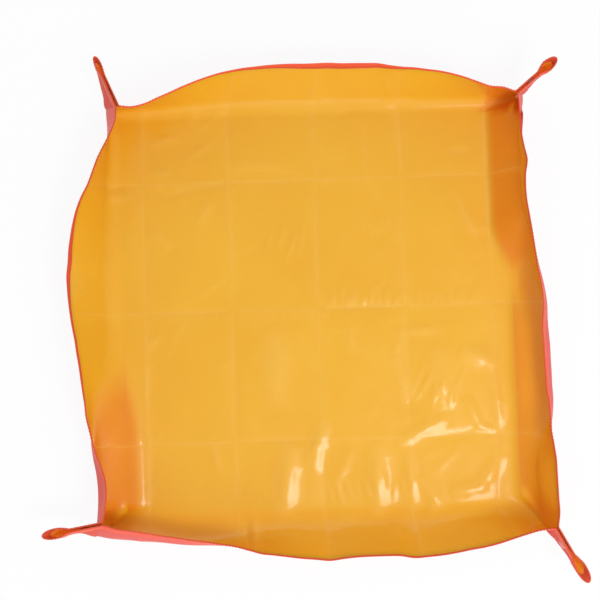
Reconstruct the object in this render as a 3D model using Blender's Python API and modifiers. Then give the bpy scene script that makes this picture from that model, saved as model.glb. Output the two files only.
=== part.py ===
"""Repotting mat: a square sheet whose corners are snapped into ears, so that its edges stand up as a tray.

The sheet is one flat square on the bench. Its folds divide it into a floor, four walls and two
triangular layers at each corner. Each of these panels is its own object, with the folds between
them as the hinge lines. Lengths are in metres, +Z is up and the origin is under the middle of the
floor.
"""

import math

import bmesh
import bpy
from mathutils import Matrix, Vector

# Sheet
SHEET_SIDE = 0.680
SHEET_THICKNESS = 0.0005
WALL_DEPTH = 0.070
FLOOR_FOLD_CLEARANCE = 0.0004
CORNER_FOLD_CLEARANCE = 0.00035
DIAGONAL_FOLD_CLEARANCE = 0.0012
LAYER_SPACING = 0.0039
WALL_COLUMNS = 30
WALL_ROWS = 8
FLOOR_COLUMNS = 6
FLOOR_ROWS = 4
SAMPLE_SHARE = 0.01
MERGE_SHARE = 0.1

# Lower part of a wall, as a share of its depth, pushed outwards by the soft fold at the floor
BELLY_SHARE = 0.035
STEEP_BELLY_SHARE = 0.075
CORNER_FADE_SHARE = 0.15
BELLY_FULLNESS = 4
BELLY_LOW_WEIGHT = 1.3
BELLY_HIGH_LOSS = 0.6

# Binding tape, folded over the edge
BINDING_WIDTH = 0.007
BINDING_THICKNESS = 0.0006
BINDING_CLEARANCE = 0.0005
BINDING_END_SETBACK = 0.0014
EAR_TAPE_COLUMNS = 4

# Each row across the tape: the face of the sheet that it is on, and its share of the tape's width
TAPE_ROW_SHARES = [(1, 1.0), (1, 0.5), (1, 0.0), (0, 0.0), (-1, 0.0), (-1, 0.5), (-1, 1.0)]
TAPE_ROWS = len(TAPE_ROW_SHARES) - 1

# Snap fastener
SNAP_REACH = 0.026
SNAP_CLEARANCE = 0.0003
SNAP_SIDES = 16
CROWN_STEPS = 4
TURN_MERGE_SHARE = 1 / 30
CAP_RADIUS = 0.0062
CAP_RIM = 0.0007
CAP_DOME = 0.0009
CAP_POST_RADIUS = 0.0014
SOCKET_RADIUS = 0.0050
SOCKET_HEIGHT = 0.0017
SOCKET_BASE = 0.0006
SOCKET_BORE_RADIUS = 0.0032
STUD_FLANGE_RADIUS = 0.0047
STUD_FLANGE = 0.0006
STUD_KNOB_RADIUS = 0.0020
STUD_BORE_RADIUS = 0.0012
STUD_BORE_FLOOR = 0.0005
POST_FLANGE_RADIUS = 0.0047
POST_FLANGE = 0.0007
POST_RADIUS = 0.0009

FLOOR_HALF = SHEET_SIDE / 2 - WALL_DEPTH
HALF_THICKNESS = SHEET_THICKNESS / 2
HALF_SPACING = LAYER_SPACING / 2
SNAP_DROP = BINDING_WIDTH + CAP_RADIUS + SNAP_CLEARANCE
UP = Vector((0, 0, 1))

# Each corner: the side of the floor it is on, then its pinch, where the walls meet at the edge, and
# the tip of its ear. Both are measured from the floor's corner, in shares of the wall's depth.
CORNER_SIDES = {"nw": (-1, 1), "ne": (1, 1), "se": (1, -1), "sw": (-1, -1)}
PINCH_SHARES = {
    "nw": (0.37, -0.16, 0.97),
    "ne": (-0.19, -0.15, 1.00),
    "se": (0.19, -0.17, 0.97),
    "sw": (-0.05, 0.16, 0.98),
}
TIP_SHARES = {
    "nw": (-0.03, 0.77, 0.94),
    "ne": (0.54, 0.44, 1.04),
    "se": (0.73, -1.15, 0.88),
    "sw": (-1.13, -0.03, 0.94),
}

# Each wall: the corners at its ends, the way it faces, and how far its edge bows out from the
# straight line between its pinches, at even steps, in shares of the wall's depth.
WALLS = {
    "north": ("nw", "ne", Vector((0, 1, 0))),
    "east": ("ne", "se", Vector((1, 0, 0))),
    "south": ("se", "sw", Vector((0, -1, 0))),
    "west": ("sw", "nw", Vector((-1, 0, 0))),
}
BOW_SHARES = {
    "north": (0, 0.24, 0.55, 0.66, 0.67, 0.64, 0.54, 0.34, 0),
    "east": (0, 0.03, 0.00, 0.12, 0.19, 0.18, 0.12, 0.08, 0),
    "south": (0, 0.31, 0.50, 0.54, 0.60, 0.54, 0.37, 0.21, 0),
    "west": (0, 0.14, 0.39, 0.58, 0.75, 0.83, 0.73, 0.43, 0),
}

YELLOW = (0.86, 0.42, 0.05, 1.0)
CORAL = (0.86, 0.10, 0.08, 1.0)
RED = (0.90, 0.07, 0.03, 1.0)
STEEL = (0.62, 0.62, 0.60, 1.0)


def clear_scene():
    """Remove whatever the scene starts with."""
    for item in list(bpy.data.objects):
        bpy.data.objects.remove(item, do_unlink=True)


def make_collection(name):
    """Make a collection in the scene."""
    collection = bpy.data.collections.new(name)
    bpy.context.scene.collection.children.link(collection)
    return collection


def make_material(name, colour, roughness, metallic):
    """Make one plain material."""
    material = bpy.data.materials.new(name)
    material.use_nodes = True
    shader = material.node_tree.nodes["Principled BSDF"]
    shader.inputs["Base Color"].default_value = colour
    shader.inputs["Roughness"].default_value = roughness
    shader.inputs["Metallic"].default_value = metallic
    return material


def add_object(name, data, material, collection, matrix=None):
    """Put a mesh or a curve in the collection under its own name."""
    item = bpy.data.objects.new(name, data)
    if matrix is not None:
        item.matrix_world = matrix
    data.materials.append(material)
    collection.objects.link(item)
    return item


def add_panel(name, columns, rows, place, thickness, material, collection):
    """Shape a grid by place(across, up), both from 0 to 1, and give it a thickness."""
    bm = bmesh.new()
    bmesh.ops.create_grid(bm, x_segments=columns, y_segments=rows, size=1)
    for vert in bm.verts:
        vert.co = place((vert.co.x + 1) / 2, (vert.co.y + 1) / 2)
    mesh = bpy.data.meshes.new(name)
    bm.to_mesh(mesh)
    bm.free()
    mesh.shade_smooth()
    item = add_object(name, mesh, material, collection)
    shell = item.modifiers.new("Thickness", "SOLIDIFY")
    shell.thickness = thickness
    shell.offset = 0
    shell.use_even_offset = True
    return item


def floor_corner(corner):
    """The floor's corner, in the middle of the sheet's thickness."""
    side_x, side_y = CORNER_SIDES[corner]
    return Vector((side_x * FLOOR_HALF, side_y * FLOOR_HALF, HALF_THICKNESS))


def pinch(corner):
    """Where two walls meet at the sheet's edge, midway between an ear's layers."""
    return floor_corner(corner) + WALL_DEPTH * Vector(PINCH_SHARES[corner])


def tip(corner):
    """The sheet's own corner, at the end of an ear."""
    return floor_corner(corner) + WALL_DEPTH * Vector(TIP_SHARES[corner])


def layer_side(corner, wall):
    """The unit normal of the ear, towards the layer that continues this wall."""
    along = tip(corner) - pinch(corner)
    normal = along.cross(pinch(corner) - floor_corner(corner)).normalized()
    return normal if normal.dot(WALLS[wall][2]) > 0 else -normal


def blend_stations(values, share):
    """Read a smooth curve through values at even steps."""
    last = len(values) - 1
    place = min(max(share, 0), 1) * last
    start = min(int(place), last - 1)
    part = place - start
    near = [values[min(max(start + step, 0), last)] for step in (-1, 0, 1, 2)]
    slope_in = (near[2] - near[0]) / 2
    slope_out = (near[3] - near[1]) / 2
    rise = near[2] - near[1]
    return near[1] + part * (
        slope_in + part * (3 * rise - 2 * slope_in - slope_out + part * (slope_in + slope_out - 2 * rise))
    )


def wall_chord(wall, across):
    """The foot of a wall and the point of its edge above it."""
    first, last, outward = WALLS[wall]
    run = (floor_corner(last) - floor_corner(first)).normalized()
    ends = []
    for corner in (first, last):
        side = layer_side(corner, wall) * HALF_SPACING
        foot = floor_corner(corner) + run * side.dot(run)
        ends.append((foot, pinch(corner) + side))
    foot = ends[0][0].lerp(ends[1][0], across)
    edge = ends[0][1].lerp(ends[1][1], across)
    edge += outward * WALL_DEPTH * blend_stations(BOW_SHARES[wall], across)
    reach = (edge - foot).dot(outward)
    pinch_reaches = [(top - base).dot(outward) for base, top in ends]
    pinch_rises = [(top - base).dot(UP) for base, top in ends]
    slack = [
        rise - math.sqrt(WALL_DEPTH**2 - out**2) for rise, out in zip(pinch_rises, pinch_reaches)
    ]
    rise = math.sqrt(WALL_DEPTH**2 - reach**2) + slack[0] + (slack[1] - slack[0]) * across
    edge.z = foot.z + rise
    return foot, edge, reach


def wall_point(wall, across, up):
    """A point of a wall's middle surface."""
    foot, edge, reach = wall_chord(wall, across)
    outward = WALLS[wall][2]
    chord = edge - foot
    run = UP.cross(outward)
    belly_way = chord.cross(run).normalized()
    if belly_way.dot(outward) < 0:
        belly_way = -belly_way
    steepness = 1 - min(abs(reach) / WALL_DEPTH, 1)
    near_corner = min(1, across / CORNER_FADE_SHARE, (1 - across) / CORNER_FADE_SHARE)
    corner_fade = near_corner * (2 - near_corner)
    belly = WALL_DEPTH * (BELLY_SHARE + STEEP_BELLY_SHARE * steepness**2) * corner_fade
    bulge = belly_way * belly * BELLY_FULLNESS * up * (1 - up)
    return foot + chord * up + bulge * (BELLY_LOW_WEIGHT - BELLY_HIGH_LOSS * up)


def wall_frame(wall, across, up):
    """A point of a wall, its outward normal and the way up along it."""
    low, high = max(up - SAMPLE_SHARE, 0), min(up + SAMPLE_SHARE, 1)
    left, right = max(across - SAMPLE_SHARE, 0), min(across + SAMPLE_SHARE, 1)
    rising = (wall_point(wall, across, high) - wall_point(wall, across, low)).normalized()
    running = wall_point(wall, right, up) - wall_point(wall, left, up)
    normal = running.cross(rising).normalized()
    if normal.dot(WALLS[wall][2] - UP) < 0:
        normal = -normal
    return wall_point(wall, across, up), normal, rising


def corner_wings(corner):
    """The two walls that meet at a corner, the one along X first."""
    meeting = [wall for wall, ends in WALLS.items() if corner in ends[:2]]
    return sorted(meeting, key=lambda wall: abs(WALLS[wall][2].x))


def ear_matrix(corner, wall):
    """The ear's own frame: X along its edge from the pinch, Y down to the floor, Z to this layer."""
    edge = (tip(corner) - pinch(corner)).normalized()
    out = layer_side(corner, wall)
    down = out.cross(edge)
    flip = 1
    if down.dot(UP) > 0:
        down = -down
        flip = -1
    frame = Matrix((edge, down, out)).transposed().to_4x4()
    frame.translation = pinch(corner)
    return frame, flip


def ear_outline(corner, wall):
    """The ear's three corners in its own frame: pinch, tip and floor corner."""
    frame, _ = ear_matrix(corner, wall)
    back = frame.inverted()
    return [back @ place for place in (pinch(corner), tip(corner), floor_corner(corner))]


def wing_span(corner, wall, drop, setback, fold_setback):
    """Where a layer starts and ends along its edge, at this distance below the edge."""
    _, far, low = ear_outline(corner, wall)
    share = drop / low.y
    start = low.x * share + setback
    end = far.x + (low.x - far.x) * share - fold_setback
    return start, end


def add_wing(corner, wall, hole_radius, material, collection):
    """Cut one layer of an ear as a flat triangle with the hole for its snap."""
    frame, flip = ear_matrix(corner, wall)
    _, _, low = ear_outline(corner, wall)
    start, end = wing_span(corner, wall, 0, CORNER_FOLD_CLEARANCE, DIAGONAL_FOLD_CLEARANCE)
    width_lost = CORNER_FOLD_CLEARANCE + DIAGONAL_FOLD_CLEARANCE
    depth = low.y * (1 - (width_lost + HALF_SPACING) / (end - start + width_lost))
    left, right = wing_span(corner, wall, depth, CORNER_FOLD_CLEARANCE, DIAGONAL_FOLD_CLEARANCE)
    outline = [(start, 0), (end, 0), (right, depth), (left, depth)]
    name = f"corner_layer_{corner}_{wall}"
    curve = bpy.data.curves.new(name, "CURVE")
    curve.dimensions = "2D"
    curve.fill_mode = "BOTH"
    curve.extrude = HALF_THICKNESS
    hole = []
    for side in range(SNAP_SIDES):
        turn = math.tau * side / SNAP_SIDES
        hole.append((SNAP_REACH + hole_radius * math.cos(turn), SNAP_DROP + hole_radius * math.sin(turn)))
    for points in (outline, hole):
        spline = curve.splines.new("POLY")
        spline.points.add(len(points) - 1)
        for point, (x, y) in zip(spline.points, points):
            point.co = (x, y, 0, 1)
        spline.use_cyclic_u = True
    raised = frame @ Matrix.Translation((0, 0, HALF_SPACING))
    if flip < 0:
        return add_turned_plate(name, curve, raised, material, collection)
    return add_object(name, curve, material, collection, raised)


def add_turned_plate(name, curve, matrix, material, collection):
    """Make a plate from a filled curve whose frame is left-handed, with its faces pointing out."""
    helper = bpy.data.objects.new(name + "_outline", curve)
    collection.objects.link(helper)
    graph = bpy.context.evaluated_depsgraph_get()
    mesh = bpy.data.meshes.new_from_object(helper.evaluated_get(graph))
    bpy.data.objects.remove(helper, do_unlink=True)
    bm = bmesh.new()
    bm.from_mesh(mesh)
    bmesh.ops.remove_doubles(bm, verts=bm.verts, dist=SHEET_THICKNESS * MERGE_SHARE)
    bmesh.ops.transform(bm, matrix=matrix, verts=bm.verts)
    bmesh.ops.recalc_face_normals(bm, faces=bm.faces)
    bm.to_mesh(mesh)
    bm.free()
    mesh.name = name
    return add_object(name, mesh, material, collection)


def binding_offset():
    """From the middle of the sheet to the middle of the tape on either face."""
    return HALF_THICKNESS + BINDING_CLEARANCE + BINDING_THICKNESS / 2


def tape_row(up):
    """Which face of the sheet a row of the tape is on, and how far below the edge it lies."""
    side, drop_share = TAPE_ROW_SHARES[round(up * TAPE_ROWS)]
    return side, drop_share * (BINDING_WIDTH - binding_offset())


def add_wall_binding(wall, material, collection):
    """Fold a tape over the edge of a wall."""
    margin = BINDING_END_SETBACK / (2 * FLOOR_HALF)

    def place(across, up):
        side, drop = tape_row(up)
        share = min(max(across, margin), 1 - margin)
        point, normal, rising = wall_frame(wall, share, 1 - drop / WALL_DEPTH)
        if side == 0:
            return point + rising * binding_offset()
        return point + normal * side * binding_offset()

    name = f"binding_{wall}_wall"
    return add_panel(name, WALL_COLUMNS, TAPE_ROWS, place, BINDING_THICKNESS, material, collection)


def add_wing_binding(corner, wall, material, collection):
    """Fold a tape over the edge of one layer of an ear."""
    frame, _ = ear_matrix(corner, wall)

    def place(across, up):
        side, drop = tape_row(up)
        start, end = wing_span(corner, wall, drop, BINDING_END_SETBACK, BINDING_END_SETBACK)
        lift = -binding_offset() if side == 0 else drop
        height = HALF_SPACING + side * binding_offset()
        return frame @ Vector((start + (end - start) * across, lift, height))

    name = f"binding_{corner}_{wall}"
    return add_panel(
        name, EAR_TAPE_COLUMNS, TAPE_ROWS, place, BINDING_THICKNESS, material, collection
    )


def add_turned(name, profile, matrix, material, collection):
    """Turn a closed profile of (radius, height) points round the Z axis of its frame."""
    bm = bmesh.new()
    ring = [bm.verts.new((radius, 0, height)) for radius, height in profile]
    for first, second in zip(ring, ring[1:]):
        bm.edges.new((first, second))
    bmesh.ops.spin(
        bm,
        geom=list(bm.verts) + list(bm.edges),
        cent=(0, 0, 0),
        axis=(0, 0, 1),
        angle=math.tau,
        steps=SNAP_SIDES,
        use_merge=True,
    )
    bmesh.ops.remove_doubles(bm, verts=bm.verts, dist=SNAP_CLEARANCE * TURN_MERGE_SHARE)
    bmesh.ops.transform(bm, matrix=matrix, verts=bm.verts)
    bmesh.ops.recalc_face_normals(bm, faces=bm.faces)
    mesh = bpy.data.meshes.new(name)
    bm.to_mesh(mesh)
    bm.free()
    mesh.shade_smooth()
    return add_object(name, mesh, material, collection)


def cap_profile():
    """The domed cap on the outer face, with the post that passes through the sheet."""
    under = HALF_SPACING + HALF_THICKNESS + SNAP_CLEARANCE
    post_end = socket_mouth() + SOCKET_HEIGHT - SOCKET_BASE
    crown = [(0, under + CAP_RIM + CAP_DOME)]
    for step in range(1, CROWN_STEPS):
        share = step / CROWN_STEPS
        height = under + CAP_RIM + CAP_DOME * math.sqrt(1 - share**2)
        crown.append((CAP_RADIUS * share, height))
    rim = [(CAP_RADIUS, under + CAP_RIM), (CAP_RADIUS, under)]
    return crown + rim + [(CAP_POST_RADIUS, under), (CAP_POST_RADIUS, post_end), (0, post_end)]


def socket_mouth():
    """The height of the socket's open end above the middle of the ear."""
    return HALF_SPACING - HALF_THICKNESS - SNAP_CLEARANCE - SOCKET_HEIGHT


def socket_profile():
    """The ring on the inner face that grips the knob."""
    mouth = socket_mouth()
    back = mouth + SOCKET_HEIGHT
    floor = back - SOCKET_BASE
    post_hole = CAP_POST_RADIUS + SNAP_CLEARANCE
    return [
        (post_hole, back),
        (SOCKET_RADIUS, back),
        (SOCKET_RADIUS, mouth),
        (SOCKET_BORE_RADIUS, mouth),
        (SOCKET_BORE_RADIUS, floor),
        (post_hole, floor),
        (post_hole, back),
    ]


def stud_profile():
    """The flange and knob on the facing inner face."""
    seat = -HALF_SPACING + HALF_THICKNESS + SNAP_CLEARANCE
    shoulder = seat + STUD_FLANGE
    knob_end = socket_mouth() + SOCKET_HEIGHT - SOCKET_BASE - SNAP_CLEARANCE
    return [
        (0, knob_end),
        (STUD_KNOB_RADIUS, knob_end),
        (STUD_KNOB_RADIUS, shoulder),
        (STUD_FLANGE_RADIUS, shoulder),
        (STUD_FLANGE_RADIUS, seat),
        (STUD_BORE_RADIUS, seat),
        (STUD_BORE_RADIUS, knob_end - STUD_BORE_FLOOR),
        (0, knob_end - STUD_BORE_FLOOR),
    ]


def post_profile():
    """The flat ring on the outer face behind the knob, with its post."""
    under = -HALF_SPACING - HALF_THICKNESS - SNAP_CLEARANCE
    knob_end = socket_mouth() + SOCKET_HEIGHT - SOCKET_BASE - SNAP_CLEARANCE
    post_end = knob_end - STUD_BORE_FLOOR - SNAP_CLEARANCE
    return [
        (0, post_end),
        (POST_RADIUS, post_end),
        (POST_RADIUS, under),
        (POST_FLANGE_RADIUS, under),
        (POST_FLANGE_RADIUS, under - POST_FLANGE),
        (0, under - POST_FLANGE),
    ]


def add_snap(corner, material, collection):
    """Fasten an ear's two layers with the four pieces of a snap."""
    cap_wall, _ = corner_wings(corner)
    frame, _ = ear_matrix(corner, cap_wall)
    centre = frame @ Matrix.Translation((SNAP_REACH, SNAP_DROP, 0))
    profiles = {
        "snap_cap": cap_profile(),
        "snap_socket": socket_profile(),
        "snap_stud": stud_profile(),
        "snap_post": post_profile(),
    }
    for name, profile in profiles.items():
        add_turned(f"{name}_{corner}", profile, centre, material, collection)


def add_floor(material, collection):
    """Lay the flat middle of the sheet."""
    reach = FLOOR_HALF - FLOOR_FOLD_CLEARANCE

    def place(across, up):
        return Vector(((2 * across - 1) * reach, (2 * up - 1) * reach, HALF_THICKNESS))

    return add_panel(
        "sheet_floor", FLOOR_COLUMNS, FLOOR_ROWS, place, SHEET_THICKNESS, material, collection
    )


def add_wall(wall, material, collection):
    """Stand one edge of the sheet up from the floor."""
    margin = CORNER_FOLD_CLEARANCE / (2 * FLOOR_HALF)
    foot = FLOOR_FOLD_CLEARANCE / WALL_DEPTH

    def place(across, up):
        return wall_point(wall, min(max(across, margin), 1 - margin), foot + up * (1 - foot))

    name = f"sheet_{wall}_wall"
    return add_panel(name, WALL_COLUMNS, WALL_ROWS, place, SHEET_THICKNESS, material, collection)


def main():
    """Build every piece."""
    clear_scene()
    mat = make_collection("repotting_mat")
    sheet = make_material("woven_sheet", YELLOW, 0.35, 0.0)
    layer = make_material("sheet_outside", CORAL, 0.38, 0.0)
    tape = make_material("binding_tape", RED, 0.55, 0.0)
    steel = make_material("plated_steel", STEEL, 0.30, 1.0)
    add_floor(sheet, mat)
    for wall in WALLS:
        add_wall(wall, sheet, mat)
        add_wall_binding(wall, tape, mat)
    for corner in CORNER_SIDES:
        cap_wall, stud_wall = corner_wings(corner)
        add_wing(corner, cap_wall, CAP_POST_RADIUS + SNAP_CLEARANCE, layer, mat)
        add_wing(corner, stud_wall, POST_RADIUS + SNAP_CLEARANCE, layer, mat)
        for wall in (cap_wall, stud_wall):
            add_wing_binding(corner, wall, tape, mat)
        add_snap(corner, steel, mat)


if __name__ == "__main__":
    main()
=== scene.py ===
"""Repotting mat: one coated square sheet with a taped edge, its corners snapped up into ears.

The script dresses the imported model. The sheet is one surface, made here as a floor, four walls and
the two layers of each ear, so that every panel moves with its own body. Lengths are in metres. The
sheet's own coordinates run from its middle, along X and Y as it lies flat on the ground.
"""

import logging
import math
import random
from dataclasses import dataclass
from enum import Enum
from typing import Any, Callable, Sequence

import bmesh
import bpy
import numpy as np
from mathutils import Matrix, Vector, kdtree, noise

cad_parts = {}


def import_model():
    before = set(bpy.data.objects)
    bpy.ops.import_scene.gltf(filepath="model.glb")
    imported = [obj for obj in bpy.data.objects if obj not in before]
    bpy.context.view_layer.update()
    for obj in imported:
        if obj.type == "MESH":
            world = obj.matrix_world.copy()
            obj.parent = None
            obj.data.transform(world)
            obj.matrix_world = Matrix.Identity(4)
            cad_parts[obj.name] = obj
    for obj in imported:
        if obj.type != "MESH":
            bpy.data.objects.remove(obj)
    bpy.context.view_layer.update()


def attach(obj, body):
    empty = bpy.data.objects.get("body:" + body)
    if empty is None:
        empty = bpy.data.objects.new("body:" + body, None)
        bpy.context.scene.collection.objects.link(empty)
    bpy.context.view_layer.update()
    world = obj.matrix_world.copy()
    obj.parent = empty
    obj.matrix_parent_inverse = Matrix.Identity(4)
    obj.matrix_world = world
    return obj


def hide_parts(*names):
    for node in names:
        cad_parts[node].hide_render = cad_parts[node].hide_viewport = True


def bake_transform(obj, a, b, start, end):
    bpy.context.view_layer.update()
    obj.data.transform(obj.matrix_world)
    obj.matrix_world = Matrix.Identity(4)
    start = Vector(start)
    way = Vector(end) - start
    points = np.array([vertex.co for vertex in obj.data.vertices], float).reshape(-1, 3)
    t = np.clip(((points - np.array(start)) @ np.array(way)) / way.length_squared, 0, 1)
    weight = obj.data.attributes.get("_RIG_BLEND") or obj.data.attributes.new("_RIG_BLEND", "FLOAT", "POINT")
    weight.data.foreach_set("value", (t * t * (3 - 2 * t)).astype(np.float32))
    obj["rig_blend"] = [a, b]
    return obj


LOG = logging.getLogger("repotting_mat")
UP = Vector((0, 0, 1))
MILLIMETRE = 0.001
SHEET_UV = "sheet"
WEAR = "wear"
# The attribute that holds painted shade: how far a point's colour is turned to a deeper orange, as shade,
# where the sheet is steep or lifted.
PAINTED_SHADE_ATTRIBUTE = "drawn"

Item = bpy.types.Object
Finish = bpy.types.Material
Grid = np.ndarray
Colour = tuple[float, float, float, float]
Profile = list[tuple[float, float]]


class Corner(Enum):
    """The mat's corners, seen from above with north at the top."""

    NW = "nw"
    NE = "ne"
    SE = "se"
    SW = "sw"


class Wall(Enum):
    """The mat's walls, each named by the way it faces."""

    NORTH = "north"
    EAST = "east"
    SOUTH = "south"
    WEST = "west"


@dataclass(frozen=True)
class CornerShape:
    """A corner's fold, in shares of the wall's depth from the floor's corner.

    The bulge is how far the corner's seam bows out at half height. The mouth is how far each layer
    stands open near the tip, and its start is a share of the edge. The lean is the angle at which
    the ear's blend crosses the seam, in degrees.
    """

    side: tuple[int, int]
    pinch: tuple[float, float, float]
    tip: tuple[float, float, float]
    bulge: tuple[float, float, float]
    mouth: float
    mouth_start: float
    lean: float = -8


@dataclass(frozen=True)
class WallShape:
    """A wall's run between two corners, with its bow and belly in hundredths of its depth.

    The tape is how far the binding reaches down the inside, in millimetres. The share after the tape
    is how much shade is painted, as a deeper orange, on the wall where it is steep. The tilt is the
    angle of the blend at the fold.
    """

    corners: tuple[Corner, Corner]
    outward: tuple[int, int, int]
    bow: tuple[int, ...]
    belly: tuple[int, ...]
    tape: tuple[float, ...]
    painted_shade: float
    tilt: float = 35


CORNERS = {
    Corner.NW: CornerShape(
        (-1, 1), (0.37, -0.16, 0.97), (-0.03, 0.77, 0.94), (-0.09, 0.02, 0), 0.0036, 0.60
    ),
    Corner.NE: CornerShape(
        (1, 1), (-0.19, -0.15, 1.00), (0.54, 0.44, 1.04), (0.11, 0.03, 0), 0.0066, 0.55
    ),
    Corner.SE: CornerShape(
        (1, -1), (0.19, -0.17, 0.97), (0.73, -1.15, 0.88), (0.04, -0.17, 0), 0.0064, 0.50
    ),
    Corner.SW: CornerShape(
        (-1, -1), (-0.05, 0.16, 0.98), (-1.13, -0.03, 0.94), (-0.24, -0.20, 0), 0.0058, 0.53, 5
    ),
}
WALLS = {
    Wall.NORTH: WallShape(
        (Corner.NW, Corner.NE),
        (0, 1, 0),
        (0, -2, 3, 12, 21, 31, 40, 48, 55, 60, 64, 66, 68, 69, 69, 68, 68)
        + (68, 66, 65, 64, 63, 58, 54, 52, 48, 44, 38, 30, 20, 11, 8, 0),
        (0, 3, 2, 0, 0, 0, 0, 3, 0),
        (1.3, 1.3, 1.6, 4.0, 7.2, 6.8, 2.2, 1.3, 1.3),
        0.00,
    ),
    Wall.EAST: WallShape(
        (Corner.NE, Corner.SE),
        (1, 0, 0),
        (0, 1, 1, 1, 3, 6, 1, -1, -1, 1, 3, 5, 7, 9, 13, 15, 14)
        + (11, 10, 10, 9, 9, 8, 10, 9, 7, 8, 9, 8, 7, 6, 5, 0),
        (0, -2, 0, 14, 25, 30, 26, -2, 0),
        (1.3, 1.3, 1.3, 1.6, 2.0, 2.0, 1.8, 1.4, 1.3),
        0.85,
        20,
    ),
    Wall.SOUTH: WallShape(
        (Corner.SE, Corner.SW),
        (0, -1, 0),
        (0, 3, 11, 20, 29, 36, 41, 47, 52, 55, 57, 53, 53, 54, 56, 59, 63)
        + (61, 59, 56, 53, 51, 44, 39, 36, 33, 30, 26, 22, 16, 11, 7, 0),
        (0, 2, 4, 5, 5, 10, 27, 28, 0),
        (1.3, 1.3, 1.5, 1.5, 1.3, 1.3, 1.3, 1.3, 1.3),
        0.28,
    ),
    Wall.WEST: WallShape(
        (Corner.SW, Corner.NW),
        (-1, 0, 0),
        (0, -3, -3, 1, 10, 20, 27, 33, 39, 42, 46, 50, 54, 59, 63, 69, 74)
        + (78, 81, 83, 81, 80, 77, 73, 67, 58, 46, 38, 30, 19, 9, 1, 0),
        (0, 26, 19, 5, 0, 0, 0, 3, 0),
        (1.3, 1.3, 1.4, 2.6, 2.2, 4.6, 2.2, 1.7, 1.3),
        0.12,
    ),
}

# Wrinkles that stay in the sheet after packing, sharp and soft: start, end, width and height, all in
# millimetres. A height above 0 is a ridge and below 0 a dent.
SHARP_MM = (
    (226, 338, 228, 90, 3.4, -1.3), (-104, -268, -100, -338, 4.0, -2.4),
    (-226, -120, -229, -300, 3.0, 1.0), (66, 239, 70, 167, 3.2, -0.9), (70, 167, 85, 133, 3.2, -0.8),
    (100, 330, 106, 283, 3.2, -0.8), (106, 283, 117, 166, 3.2, -0.8), (-112, 183, -68, 183, 3.6, -1.2),
    (-70, 183, -25, 179, 3.6, -1.2),
)
SOFT_MM = (
    (-93, -266, -89, -336, 6.0, 1.9), (-110, 193, -30, 190, 9.0, 0.8), (-217, 225, -175, 232, 6.0, 0.9),
    (-215, 186, -189, 187, 5.0, 0.7), (-199, 153, -150, 165, 5.0, -0.8),
    (-150, 165, -111, 169, 5.0, -0.8), (-169, 201, -132, 226, 6.0, 0.8),
    (176, 201, 205, 201, 5.0, -0.9), (-276, 157, -245, 154, 6.0, 1.0), (-218, 108, -194, 91, 6.0, 1.0),
    (-154, 119, -138, 142, 7.0, 1.1), (185, 149, 202, 106, 6.0, 1.2), (202, 106, 209, 92, 6.0, 1.2),
    (-225, -43, -209, -28, 5.0, 1.0), (-229, -60, -229, -125, 4.0, 0.8),
    (-59, -32, -61, -117, 16.0, 2.0), (40, -24, 40, -56, 5.0, 0.8), (105, -35, 101, -71, 8.0, 1.4),
    (101, -71, 113, -117, 10.0, 2.2), (108, -34, 158, -30, 6.0, 1.0), (154, -62, 160, -125, 13.0, 2.4),
    (190, -62, 224, -76, 11.0, 3.2), (222, -81, 232, -160, 7.0, 1.6), (189, -126, 203, -159, 7.0, 1.8),
    (203, -159, 221, -166, 5.0, 1.0), (101, -177, 154, -151, 8.0, 2.2),
    (-1, -152, -14, -204, 10.0, 3.1), (-44, -184, -54, -256, 14.0, 4.4),
    (69, -185, 69, -264, 11.0, 3.4), (108, -189, 116, -261, 7.0, 1.8), (125, -228, 150, -262, 9.0, 2.6),
    (170, -243, 203, -238, 9.0, 2.6), (203, -238, 229, -200, 9.0, 2.6), (35, -186, 14, -231, 6.0, 0.9),
    (-143, -174, -136, -207, 5.0, 0.9),
)


def smooth(value: float, low: float = 0.0, high: float = 1.0) -> float:
    """Ease from 0 at low to 1 at high."""
    part = min(max((value - low) / (high - low), 0.0), 1.0)
    return part * part * (3 - 2 * part)


def smooth_all(values: Grid, low: float, high: float) -> Grid:
    """Ease every value from 0 at low to 1 at high."""
    part = np.clip((values - low) / (high - low), 0.0, 1.0)
    return part * part * (3 - 2 * part)


def belly_profile(up: float) -> float:
    """How a belly swells from the fold at 0 to the edge at 1, fullest a little below the middle."""
    return 4 * up * (1 - up) * (1.3 - 0.6 * up)


def read_stations(values: Sequence[float], share: float) -> float:
    """Read a smooth curve through values at even steps.

    Args:
        values: The curve's values, from its start to its end.
        share: Where to read it, from 0 to 1.

    Returns:
        The curve's value there.
    """
    last = len(values) - 1
    place = min(max(share, 0.0), 1.0) * last
    start = min(int(place), last - 1)
    part = place - start
    near = [values[min(max(start + step, 0), last)] for step in (-1, 0, 1, 2)]
    slope_in, slope_out = (near[2] - near[0]) / 2, (near[3] - near[1]) / 2
    rise = near[2] - near[1]
    bend = slope_in + slope_out - 2 * rise
    return near[1] + part * (slope_in + part * (3 * rise - 2 * slope_in - slope_out + part * bend))


def frame_of(x: Vector, y: Vector, z: Vector, place: Vector) -> Matrix:
    """The matrix with these axes at this place."""
    frame = Matrix((x, y, z)).transposed().to_4x4()
    frame.translation = place
    return frame


def shade_round(mesh: bmesh.types.BMesh) -> None:
    """Point every face outwards and shade it round."""
    bmesh.ops.recalc_face_normals(mesh, faces=mesh.faces)
    for face in mesh.faces:
        face.smooth = True


def write_mesh(mesh: bmesh.types.BMesh, name: str, *finishes: Finish) -> bpy.types.Mesh:
    """Write a mesh out with its finishes, and free it."""
    data = bpy.data.meshes.new(name)
    mesh.to_mesh(data)
    mesh.free()
    for finish in finishes:
        data.materials.append(finish)
    return data


def put_in_scene(name: str, data: Any) -> Item:
    """Link a mesh, lamp or camera into the scene as an object at the origin."""
    item = bpy.data.objects.new(name, data)
    bpy.context.scene.collection.objects.link(item)
    return item


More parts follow.
